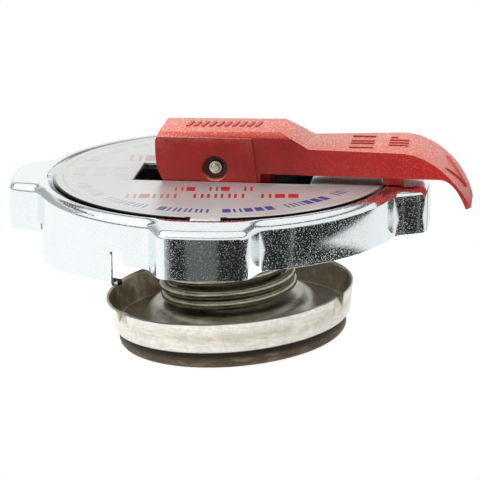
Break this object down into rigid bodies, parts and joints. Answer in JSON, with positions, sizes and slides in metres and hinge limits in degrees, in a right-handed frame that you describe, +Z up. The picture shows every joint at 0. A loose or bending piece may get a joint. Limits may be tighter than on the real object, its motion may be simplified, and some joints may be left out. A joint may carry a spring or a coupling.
{
  "type": "radiator cap",
  "caption": "Round pressed-steel radiator cap with grip lugs, cam ears, a sprung pressure valve and a red lever that lifts the valve to vent the pressure.",
  "frame": {"origin": "on the shell's axis, in the plane where the neck gasket sits on the rim of the filler neck", "axes": "+Z up along the shell's axis, +X from the axis towards the lever's tip"},
  "size_m": [0.0842, 0.0766, 0.041],
  "materials": {
    "zinc_plate": "bright zinc plating on pressed steel",
    "label_metal": "satin printed metal",
    "stainless": "pressed stainless, lightly brushed",
    "spring_steel": "drawn steel",
    "lever_plastic": "red moulding with a fine grain",
    "rubber": "brown-black moulded rubber",
    "brass": "turned brass"
  },
  "bodies": {
    "cap": {"shell": "zinc_plate", "label_disc": "label_metal", "cam_pan": "stainless", "diaphragm": "stainless", "neck_gasket": "rubber", "pressure_spring": "spring_steel"},
    "pin": {"lever_pin": "spring_steel"},
    "lever": {"lever": "lever_plastic"},
    "valve": {"stirrup": "stainless", "spring_sleeve": "spring_steel", "valve_cup": "stainless", "pressure_seal": "rubber", "seal_plate": "stainless", "eyelet": "brass", "vacuum_spring": "spring_steel"},
    "vacuum_valve": {"vacuum_disc": "brass", "vacuum_stem": "brass", "spring_clip": "spring_steel"}
  },
  "joints": [
    {"name": "pin_lift", "type": "slide", "parent": "cap", "child": "pin", "axis": [0, 0, 1], "range_m": [0, 0.00405], "stiffness_N_per_m": 300, "springref_m": -0.005, "deforming": ["pressure_spring"]},
    {"name": "lever_turn", "type": "hinge", "parent": "pin", "child": "lever", "pos_m": [0, 0, 0.0094], "axis": [0, -1, 0], "range_deg": [0, 91]},
    {"name": "valve_swing", "type": "hinge", "parent": "pin", "child": "valve", "pos_m": [0, 0, 0.0094], "axis": [0, 1, 0], "range_deg": [0, 7.8]},
    {"name": "vacuum_open", "type": "slide", "parent": "valve", "child": "vacuum_valve", "axis": [0.068, 0, -0.9977], "range_m": [0, 0.002], "stiffness_N_per_m": 60, "springref_m": -0.003, "deforming": ["vacuum_spring"]}
  ],
  "couplings": [
    {"joint": "lever_turn", "follows": "pin_lift", "rad_per_m": 387.85}
  ]
}
